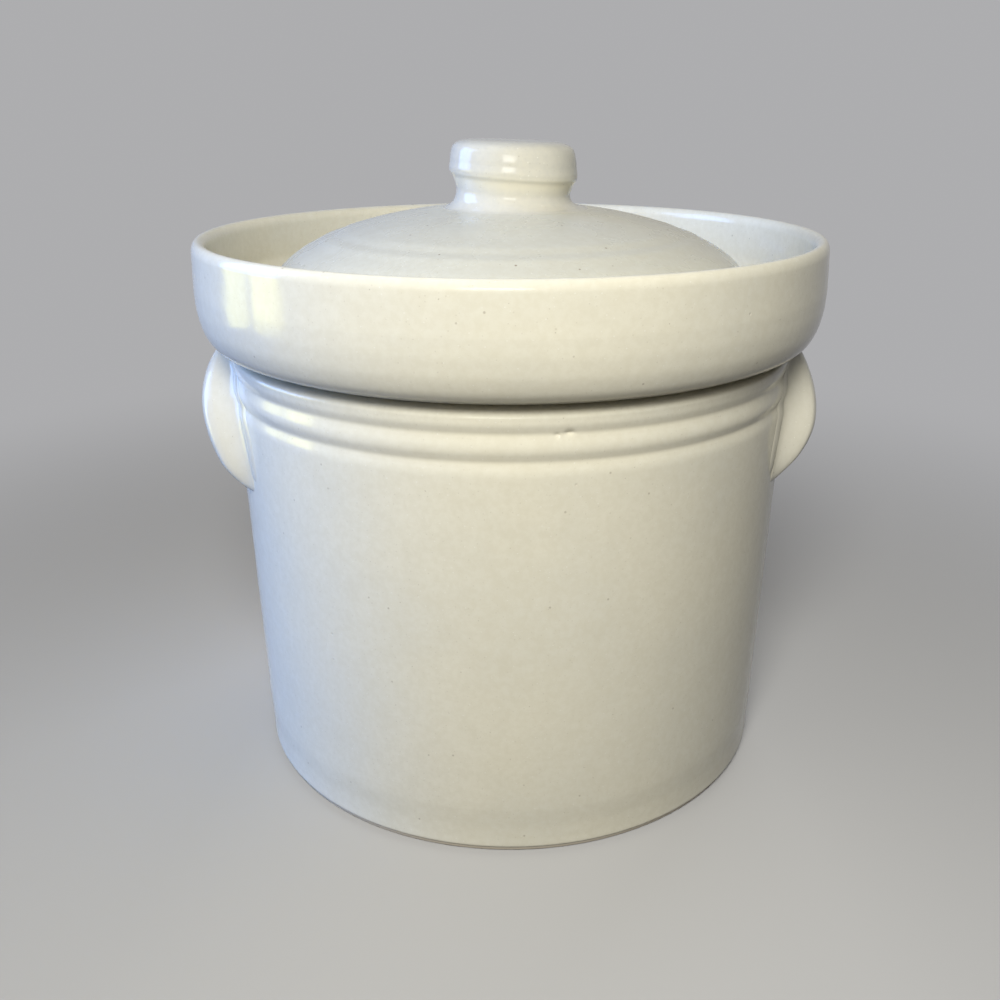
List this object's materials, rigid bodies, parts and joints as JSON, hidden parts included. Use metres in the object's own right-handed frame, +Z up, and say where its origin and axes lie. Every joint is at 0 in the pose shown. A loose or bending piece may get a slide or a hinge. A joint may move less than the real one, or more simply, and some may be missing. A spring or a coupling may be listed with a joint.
{
  "type": "water-seal fermenting crock",
  "caption": "Straight stoneware crock with a wide open water channel round its mouth, a domed lid with a knob standing in the channel, lug handles, and half-moon weight stones inside.",
  "frame": {"origin": "centre of the foot ring, on the surface that the crock stands on", "axes": "+Z up along the jar's axis, +X towards the right handle as seen from the front, +Y towards the back"},
  "size_m": [0.2414, 0.2408, 0.2441],
  "materials": {
    "cream_glaze": "glossy cream glaze with fine iron specks",
    "lid_glaze": "cream glaze, a little drier on the dome than on the jar",
    "bare_stoneware": "unglazed fired stoneware"
  },
  "bodies": {
    "crock": {"jar": "cream_glaze", "water_channel": "cream_glaze", "left_handle": "cream_glaze", "right_handle": "cream_glaze"},
    "lid": {"lid": "lid_glaze", "lid_knob": "lid_glaze"},
    "left_weight": {"left_weight_stone": "bare_stoneware"},
    "right_weight": {"right_weight_stone": "bare_stoneware"}
  },
  "joints": [
    {"name": "lid_lift", "type": "slide", "parent": "crock", "child": "lid", "axis": [0, 0, 1], "range_m": [0, 0.15]},
    {"name": "left_weight_lift", "type": "slide", "parent": "crock", "child": "left_weight", "axis": [0, 0, 1], "range_m": [0, 0.12]},
    {"name": "right_weight_lift", "type": "slide", "parent": "crock", "child": "right_weight", "axis": [0, 0, 1], "range_m": [0, 0.12]}
  ]
}
